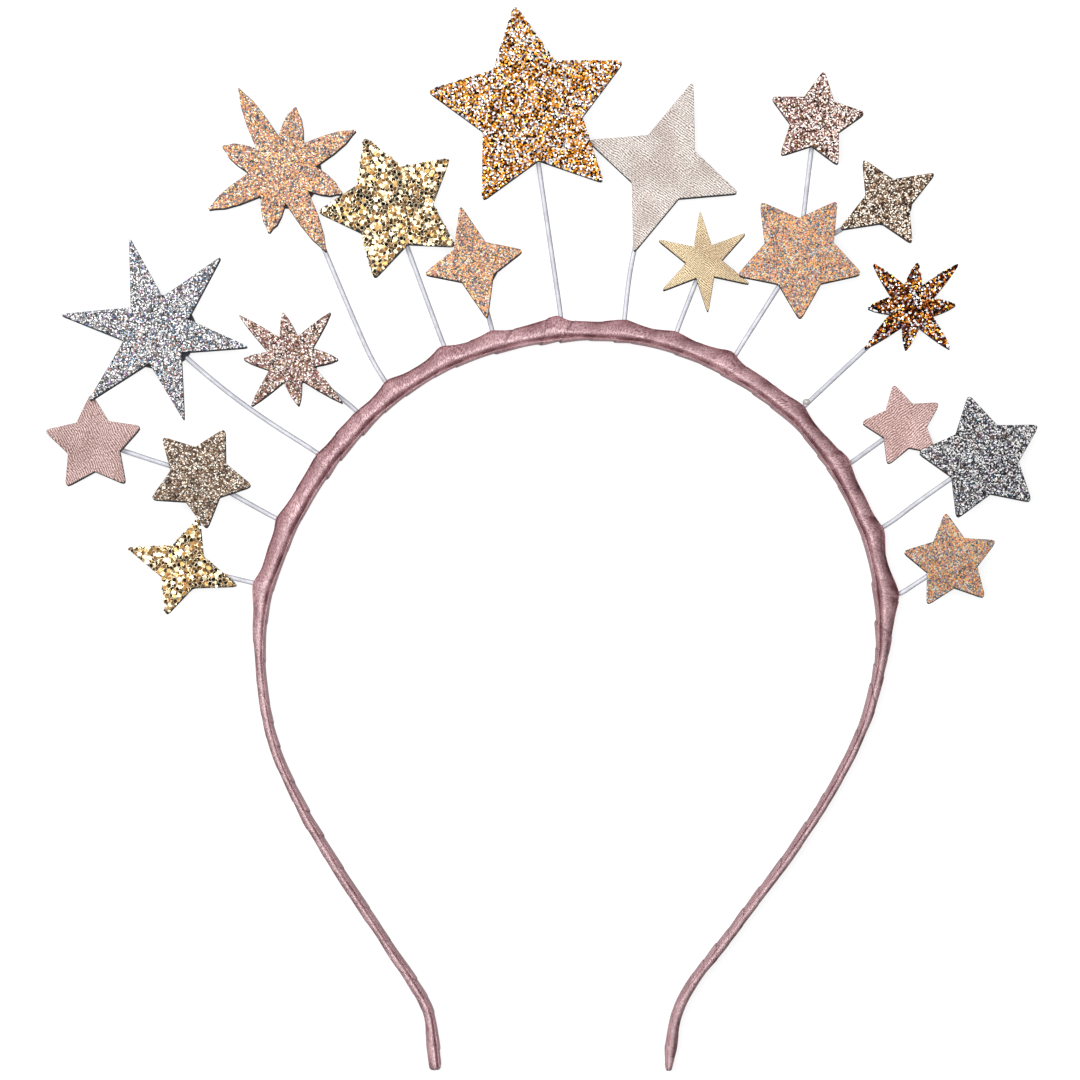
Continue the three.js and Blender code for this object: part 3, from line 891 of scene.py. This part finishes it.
def satin_band(material):
    """The ribbon's turns as one winding: a sheet of columns, laid round the band along the ribbon's edge."""
    rng = np.random.default_rng(WINDING_SEED)
    starts = turn_starts(rng)
    turns = len(starts) - 2
    per_turn = len(TURN_PHASES)
    columns = turns * per_turn
    deselect()
    bpy.ops.mesh.primitive_grid_add(x_subdivisions=columns, y_subdivisions=OUTLINE_SIDES, size=1)
    band = just_added("ribbon_wound_band")
    flat = coordinates(band)
    column = np.rint((flat[:, 0] + 0.5) * columns).astype(int)
    side = np.rint((flat[:, 1] + 0.5) * OUTLINE_SIDES).astype(int)
    turn = column // per_turn
    phase = np.array(TURN_PHASES)[column % per_turn]
    roll, rim_share, wall, fall, crease, lap = section_outline()[side].T
    # The ribbon moves on along the band as it crosses the front and the back, and little round the sides
    across = roll * ROLL_WAY + rim_share * RIM_WAY
    share_round = side / OUTLINE_SIDES
    crossing = np.where(share_round <= 0.5, across / 2, 1 - across / 2)
    ahead = 0.7 * crossing + 0.3 * share_round
    helix = turn + phase + ahead
    distance = np.interp(helix, np.arange(len(starts)), starts)
    inside = np.clip(distance, 0, BAND_LENGTH)
    share = inside / BAND_LENGTH
    middle = along_band(band_points, inside)
    outward = along_band(band_outward, inside)
    from_end = np.minimum(inside, BAND_LENGTH - inside)
    thickness = np.interp(inside, band_distance, band_thickness)
    fullness = np.clip(thickness / WINDING_THICKNESS, 0, 1)
    inner_edge = -thickness / 2 + INNER_WANDER * fullness * uneven(rng, INNER_BENDS, share)
    outer_edge = thickness / 2 + OUTER_WANDER * fullness * uneven(rng, OUTER_BENDS, share)
    outer_edge += np.interp(inside, band_distance, lump_height(band_distance))
    rim = np.minimum(RIM_THICKNESS, thickness * RIM_SHARE)
    rim *= 1 + RIM_CHANGE * uneven(rng, RIM_BENDS, share)
    changing = 1 + DEPTH_CHANGE * uneven(rng, DEPTH_BENDS, share)
    changing += BREAK_CHANGE * uneven(rng, BREAK_BENDS, share)
    depth = thickness * CREASE_SHARE * changing
    # The ribbon lies smooth over the strip near the right tip
    creased = 1 - FADED * np.clip((share - SMOOTH_FROM) / FADE_SHARE, 0, 1)
    depth *= creased
    out = inner_edge + rim_share * rim + roll * (outer_edge - inner_edge - rim)
    out += crease * CREASE_WANDER * fullness * uneven(rng, CREASE_BENDS, share)
    up = wall * STRIP_DEPTH / 2 - fall * thickness - crease * depth
    own_height = np.interp(turn + share_round, np.arange(turns + 2), 0.2 + 1.3 * rng.random(turns + 2) ** 1.6)
    rise = np.array(TURN_RISE)[column % per_turn] * own_height
    lift = lap * (rise - 0.5) * EDGE_RISE * np.minimum(1, from_end / END_LAPS)
    size = np.hypot(out, up) + 1e-9
    rounded = np.sqrt(np.clip(1 - (1 - np.minimum(1, from_end / END_ROUND)) ** 2, 0.02, 1))
    factor = (1 + lift / size) * rounded
    place = middle + outward * (out * factor)[:, None]
    place[:, 2] += up * factor
    uv = band.data.uv_layers.active
    uv.name = "ribbon"
    # Across the ribbon a thread keeps its place; along it the plan runs once round the section per turn
    thread = np.interp(turn + phase, np.arange(len(starts)), starts)
    perimeter = 2 * (STRIP_DEPTH + WINDING_THICKNESS)
    plan = np.stack([thread, (share_round + turn) * perimeter], axis=1) / MM
    lay_out(band, uv, plan)
    # Painted shadow along each turn's lapped edges, stronger where the turn stands higher
    lap_painted_shadow = np.interp(phase, (0, 0.02, 0.9, 0.96, 1), (0.4, 0, 0, 0.8, 1)) * (own_height - 0.3)
    # The steep outer slope turns away from the light, more so on the right: painted shade darkens its satin
    # there, and in the crease too
    away = 0.2 + 0.6 * (1 - fullness) + 0.85 * np.clip(outward[:, 0], 0, 1)
    slope_painted_shade = np.clip((roll - 0.45) / 0.3, 0, 1) * away
    crease_and_slope_painted_shade = np.clip(0.9 * crease * creased * fullness + slope_painted_shade, 0, 1)
    # Painted highlight along the crest of the roll, stronger where the winding is thin
    crest = np.exp(-(((roll - 0.33) / 0.16) ** 2)) * (wall > 0) * (0.08 + 0.95 * (1 - fullness))
    shades = (("lap", np.clip(lap_painted_shadow, 0, 1)), ("crease", crease_and_slope_painted_shade), ("crest", crest))
    for name, values in shades:
        mark(band, name, values)
    move_vertices(band, place)
    edit(band)
    bpy.ops.mesh.remove_doubles(threshold=0.004 * MM)
    bpy.ops.mesh.dissolve_degenerate(threshold=0.002 * MM)
    bpy.ops.mesh.select_all(action="DESELECT")
    bpy.ops.mesh.select_non_manifold(extend=False)
    bpy.ops.mesh.fill_holes(sides=0)
    bpy.ops.mesh.select_all(action="SELECT")
    bpy.ops.mesh.normals_make_consistent(inside=False)
    leave()
    bpy.ops.object.shade_smooth_by_angle(angle=SMOOTH_ANGLE)
    band.data.materials.append(material)
    settle(band, "satin_band")


# Wires, felt discs and glue

# How much an eight-sided wire is swollen, so that it keeps its thickness once it is subdivided
OCTAGON_SWELL = 0.0513 * MM
# The discs are cut a little smaller than their solids and lie a little to the lower right
FELT_TRIM = 0.25 * MM
FELT_SHIFT = Vector((0.45, -0.4, 0)) * MM


def wire_stem(name, material):
    """The coated wire: the solid's eight sides are swollen a little and subdivided to a round section."""
    wire = copy_of_node(f"stem_{name}", f"{name}_wire")
    edit(wire)
    bpy.ops.mesh.tris_convert_to_quads()
    bpy.ops.transform.shrink_fatten(value=OCTAGON_SWELL)
    leave()
    apply_modifier(wire, "SUBSURF", levels=2, render_levels=2)
    hold(wire)
    bpy.ops.object.shade_smooth()
    # Painted shade: the coat is marked darker where it turns from facing up, more on its right side
    lean = np.array([v.normal for v in wire.data.vertices])
    turned = np.clip((0.95 - np.abs(lean[:, 2])) / 0.75, 0, 1)
    side = turned * (0.72 + 0.28 * lean[:, 0])
    mark(wire, "side", side)
    wire.data.materials.append(material)
    settle(wire, f"stem_{name}")


def felt_disc(name, material, rng):
    """A hand-cut felt disc: its cut edge is a little uneven and its back is domed over the glue."""
    low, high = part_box(f"patch_{name}")
    middle = (low + high) / 2 + FELT_SHIFT
    radius = (high.x - low.x) / 2 - FELT_TRIM
    depth = high.z - low.z
    deselect()
    bpy.ops.mesh.primitive_cylinder_add(vertices=72, radius=radius, depth=depth, location=middle)
    disc = just_added(f"{name}_felt")
    bpy.ops.object.transform_apply(location=True, rotation=True, scale=True)
    edit(disc)
    bpy.ops.mesh.bevel(offset=0.28 * MM, segments=2, affect="EDGES")
    leave()
    edit(disc)
    bpy.ops.mesh.select_all(action="DESELECT")
    leave()
    for face in disc.data.polygons:
        face.select = len(face.vertices) > 8
    hold(disc)
    bpy.ops.object.mode_set(mode="EDIT")
    for ring in range(4):
        bpy.ops.mesh.inset(thickness=radius * 0.2)
    bpy.ops.mesh.select_all(action="SELECT")
    leave()
    places = coordinates(disc)
    off = places - np.array(middle)
    angle = np.arctan2(off[:, 1], off[:, 0])
    reach = np.hypot(off[:, 0], off[:, 1]) / radius
    wave = sum(
        rng.uniform(0.3, 1) * np.sin(k * angle + rng.uniform(0, 6.3)) for k in (2, 3, 5, 9, 14)
    )
    trim = 1 - 0.012 - 0.010 * wave * reach
    places[:, :2] = np.array(middle)[:2] + off[:, :2] * trim[:, None]
    under = off[:, 2] < 0
    places[under, 2] += depth * 0.30 * reach[under] ** 3
    move_vertices(disc, places)
    hold(disc)
    bpy.ops.object.shade_smooth_by_angle(angle=SMOOTH_ANGLE)
    disc.data.materials.append(material)
    settle(disc, f"patch_{name}")


# Stars

FACE_SHEET = 0.42 * MM
EDGE_ROUND = 0.10 * MM
CURL = 0.10 * MM
CUT_SPACING = 2.4 * MM
SHAPES_SEED = 5
# Each flaked star draws its flakes with seeds of its own
SEEDS_A_STAR = 10
BACKING_SHIFT = (0.06 * MM, -0.24 * MM)

# Loose flakes on the coarse stars: sides of a flake, its radius in mm, how far apart they lie as a share of
# the radius, how far they may tilt in radians, how thick the layer is in mm, how much like flakes lie in
# patches, the cut edge's painted highlight and how strong it is, and shares of the flakes in each colour,
# whose whitest and darkest are partly painted glints and painted shade
FLAKES = {
    "gold_flakes": {
        "sides": 6,
        "radius": 0.56,
        "apart": 0.85,
        "tilt": 0.2,
        "layer": 0.22,
        "clump": 1.0,
        "edge": "#F0E0BC",
        "edge_shine": 0.5,
        "shares": (
            (0.21, "#F0E0B8"),
            (0.14, "#A88248"),
            (0.18, "#785224"),
            (0.19, "#4A2E12"),
            (0.16, "#261606"),
            (0.13, "#080300"),
        ),
    },
    "bronze_glitter": {
        "sides": 6,
        "radius": 0.235,
        "apart": 0.93,
        "tilt": 0.35,
        "layer": 0.18,
        "clump": 0.1,
        "edge": "#FFFFFF",
        "edge_shine": 0.0,
        "shares": GLITTER["bronze_glitter"][3],
    },
    "copper_glitter": {
        "sides": 6,
        "radius": 0.26,
        "apart": 0.75,
        "tilt": 0.35,
        "layer": 0.18,
        "clump": 0.1,
        "edge": "#FFFFFF",
        "edge_shine": 0.0,
        "shares": GLITTER["copper_glitter"][3],
    },
}


def star_sheet(name, face, back, rng):
    """A die-cut star: the face sheet on its dark backing, with a soft edge and a slight curl."""
    star = copy_of_node(f"star_{name}", f"{name}_star")
    low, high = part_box(f"star_{name}")
    middle = (low + high) / 2
    seam = high.z - FACE_SHEET
    edit(star)
    bpy.ops.mesh.dissolve_limited(angle_limit=math.radians(0.5))
    bpy.ops.mesh.select_all(action="SELECT")
    bpy.ops.mesh.bisect(plane_co=(0, 0, seam), plane_no=(0, 0, 1))
    cuts = []
    for axis, normal in ((0, (1, 0, 0)), (1, (0, 1, 0))):
        count = int((high[axis] - low[axis]) / CUT_SPACING)
        for k in range(1, count + 1):
            place = low[axis] + (high[axis] - low[axis]) * k / (count + 1)
            cuts.append((tuple(place if i == axis else 0 for i in range(3)), normal))
    for place, normal in cuts:
        bpy.ops.mesh.select_all(action="SELECT")
        bpy.ops.mesh.bisect(plane_co=place, plane_no=normal)
    bpy.ops.mesh.select_all(action="DESELECT")
    leave()
    places = coordinates(star)
    rim = [
        e
        for e in star.data.edges
        if all(abs(places[v][2] - high.z) < 1e-6 for v in e.vertices)
    ]
    side_edges = set()
    for face_of in star.data.polygons:
        if abs(face_of.normal.z) < 0.5:
            side_edges.update(face_of.edge_keys)
    for e in rim:
        e.select = tuple(sorted(e.vertices)) in side_edges
    edit_selected(star)
    bpy.ops.mesh.bevel(offset=EDGE_ROUND, segments=2, affect="EDGES")
    leave()
    star.data.materials.append(face)
    star.data.materials.append(back)
    for polygon in star.data.polygons:
        polygon.material_index = 0 if polygon.center.z > seam else 1
    places = coordinates(star)
    # Each face's tone, partly painted shade for the way its sheet lies
    mark(star, "tone", np.full(len(places), FACE_TONE_AND_SHADE[name]))
    angle = math.radians(GRAIN_TURN.get(name, 0))
    plan = np.stack(
        [
            places[:, 0] * math.cos(angle) + places[:, 1] * math.sin(angle),
            places[:, 1] * math.cos(angle) - places[:, 0] * math.sin(angle),
        ],
        axis=1,
    )
    lay_out(star, star.data.uv_layers.new(name="grain"), plan / MM)
    below = places[:, 2] < seam - 1e-6
    places[below, :2] += np.array(BACKING_SHIFT)
    off = (places - np.array(middle)) / max(high.x - low.x, high.y - low.y) * 2
    turn = rng.uniform(0, math.pi)
    across = off[:, 0] * math.cos(turn) + off[:, 1] * math.sin(turn)
    other = off[:, 1] * math.cos(turn) - off[:, 0] * math.sin(turn)
    lift = CURL * (1.2 * across**2 - 0.6 * other**2 + 0.4 * np.sin(3 * other + turn))
    places[:, 2] += lift
    move_vertices(star, places)
    return star


def flake_cover(slot, film, seed):
    """Node group that lays punched flakes over a star's face, smaller where they meet its cut edge."""
    kind = FLAKES[slot]
    tree = bpy.data.node_groups.new(f"{slot} cover", "GeometryNodeTree")
    tree.interface.new_socket("Geometry", in_out="INPUT", socket_type="NodeSocketGeometry")
    tree.interface.new_socket("Geometry", in_out="OUTPUT", socket_type="NodeSocketGeometry")
    radius = kind["radius"] * MM
    start = add(tree, "NodeGroupInput")
    normal = add(tree, "GeometryNodeInputNormal")
    upward = add(tree, "ShaderNodeSeparateXYZ", {0: (normal, 0)})
    is_face = add(
        tree, "FunctionNodeCompare", {0: (upward, 2), 1: 0.9}, operation="GREATER_THAN"
    )
    is_side = add(tree, "FunctionNodeCompare", {0: (upward, 2), 1: 0.3}, operation="LESS_THAN")
    scatter = add(
        tree,
        "GeometryNodeDistributePointsOnFaces",
        {
            "Mesh": (start, 0),
            "Selection": (is_face, 0),
            "Distance Min": radius * kind["apart"],
            "Density Max": 4.0 / (radius * radius),
            "Seed": seed,
        },
        distribute_method="POISSON",
    )
    sides = add(
        tree,
        "GeometryNodeSeparateGeometry",
        {0: (start, 0), 1: (is_side, 0)},
        domain="FACE",
    )
    near = add(tree, "GeometryNodeProximity", {0: (sides, 0)}, target_element="FACES")
    scale = add(
        tree,
        "ShaderNodeMapRange",
        {0: (near, 1), 1: 0.0, 2: radius, 3: 0.25, 4: 1.0},
    )
    height = add(
        tree,
        "FunctionNodeRandomValue",
        {2: 0.02 * MM, 3: kind["layer"] * MM, "Seed": seed + 1},
        data_type="FLOAT",
    )
    lifted = add(tree, "ShaderNodeCombineXYZ", {2: (height, 1)})
    raised = add(tree, "GeometryNodeSetPosition", {0: (scatter, 0), "Offset": (lifted, 0)})
    flake = add(
        tree,
        "GeometryNodeMeshCone",
        {"Vertices": kind["sides"], "Radius Bottom": radius, "Radius Top": radius * 0.72, "Depth": 0.05 * MM},
    )
    marked = add(
        tree,
        "GeometryNodeStoreNamedAttribute",
        {"Geometry": (flake, 0), "Name": "cut_edge", "Value": (flake, 3)},
        data_type="FLOAT",
        domain="FACE",
    )
    lean = add(
        tree,
        "FunctionNodeRandomValue",
        {
            0: (-kind["tilt"], -kind["tilt"], 0.0),
            1: (kind["tilt"], kind["tilt"], 2 * math.pi),
            "Seed": seed + 2,
        },
        data_type="FLOAT_VECTOR",
    )
    each = add(
        tree,
        "GeometryNodeInstanceOnPoints",
        {
            "Points": (raised, 0),
            "Instance": (marked, 0),
            "Rotation": (lean, 0),
            "Scale": (scale, 0),
        },
    )
    which = add(
        tree,
        "FunctionNodeRandomValue",
        {2: 0.0, 3: 1.0, "Seed": seed + 3},
        data_type="FLOAT",
    )
    named = add(
        tree,
        "GeometryNodeStoreNamedAttribute",
        {"Geometry": (each, 0), "Name": "flake", "Value": (which, 1)},
        data_type="FLOAT",
        domain="INSTANCE",
    )
    real = add(tree, "GeometryNodeRealizeInstances", {0: (named, 0)})
    dressed = add(
        tree, "GeometryNodeSetMaterial", {"Geometry": (real, 0), "Material": film}
    )
    joined = add(tree, "GeometryNodeJoinGeometry")
    tree.links.new(dressed.outputs[0], joined.inputs[0])
    tree.links.new(start.outputs[0], joined.inputs[0])
    add(tree, "NodeGroupOutput", {0: (joined, 0)})
    return tree


# The bead's size, and how far it stands off the winding and towards the crown
GLUE_RADIUS = 0.78 * MM
GLUE_OUT = 1.8 * MM
GLUE_ASIDE = 0.7 * MM


def glue_bead(material):
    """A small bead of glue that stands where one wire leaves the ribbon."""
    seat = seat_of("copper_eight")
    place = along_band(band_points, seat)
    outward = along_band(band_outward, seat)
    thickness = np.interp(seat, band_distance, band_thickness)
    towards_crown = Vector((-outward[1], outward[0], 0))
    spot = Vector(place) + Vector(outward) * (thickness / 2 + GLUE_OUT) + towards_crown * GLUE_ASIDE
    deselect()
    bpy.ops.mesh.primitive_ico_sphere_add(subdivisions=4, radius=GLUE_RADIUS, location=spot)
    bead = just_added("glue_bead")
    edit(bead)
    bpy.ops.transform.resize(value=(1.0, 0.85, 1.15), center_override=spot)
    leave()
    hold(bead)
    bpy.ops.object.transform_apply(location=True, rotation=True, scale=True)
    bpy.ops.object.shade_smooth()
    bead.data.materials.append(material)
    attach(bead, "root")


# The scene


def photo_camera():
    bpy.ops.object.camera_add(
        location=(VIEW_CENTRE[0], VIEW_CENTRE[1], BAND_PLACE.z + VIEW_DISTANCE), rotation=(0, 0, 0)
    )
    camera = just_added("camera_above")
    camera.data.sensor_width = SENSOR_WIDTH
    camera.data.lens = SENSOR_WIDTH * VIEW_DISTANCE / VIEW_WIDTH
    camera.data.clip_start = 0.01
    camera.data.clip_end = 20
    bpy.context.scene.camera = camera


def soft_light(name, place, size, power):
    """A square softbox that faces the headband."""
    bpy.ops.object.light_add(type="AREA", location=place)
    light = just_added(name)
    light.data.size = size
    light.data.energy = power
    light.rotation_euler = (-Vector(place)).to_track_quat("-Z", "Y").to_euler()


def studio():
    deselect()
    bpy.ops.mesh.primitive_plane_add(size=3.0, location=(0, 0, -0.2 * MM))
    floor = just_added("floor")
    floor.data.materials.append(matt_floor())
    # The floor isn't mirrored in the part, so its shine comes from the lights alone
    floor.visible_glossy = False
    soft_light("front_softbox", (0.0, 0.02, 0.42), 0.2, 1.25)
    soft_light("key_softbox", (-0.55, 0.4, 0.85), 0.45, 8.0)
    world = bpy.data.worlds.new("studio")
    bpy.context.scene.world = world
    world.use_nodes = True
    world.node_tree.nodes["Background"].inputs["Color"].default_value = linear("#F4F6FA")
    world.node_tree.nodes["Background"].inputs["Strength"].default_value = 0.3
    bpy.context.scene.view_settings.view_transform = "Standard"


photo_camera()
studio()

ribbon = satin_ribbon()
coat = coated_wire()
felt_cloth = felt()
backing = backing_card()
faces = {slot: glitter_sheet(slot) for slot in GLITTER}
faces.update({slot: foil_leather(slot) for slot in LEATHER})
films = {slot: flake_film(slot) for slot in FLAKES}

satin_band(ribbon)
star_names = [node[len("star_") :] for node in SLOTS if node.startswith("star_")]
shapes = np.random.default_rng(SHAPES_SEED)
for order, name in enumerate(star_names):
    slot = SLOTS[f"star_{name}"]
    star = star_sheet(name, faces[slot], backing, shapes)
    if slot in FLAKES:
        cover = flake_cover(slot, films[slot], SEEDS_A_STAR * order)
        apply_modifier(star, "NODES", node_group=cover)
    settle(star, f"star_{name}")
    felt_disc(name, felt_cloth, shapes)
    if f"stem_{name}" in NODES:
        wire_stem(name, coat)
glue_bead(hot_glue())
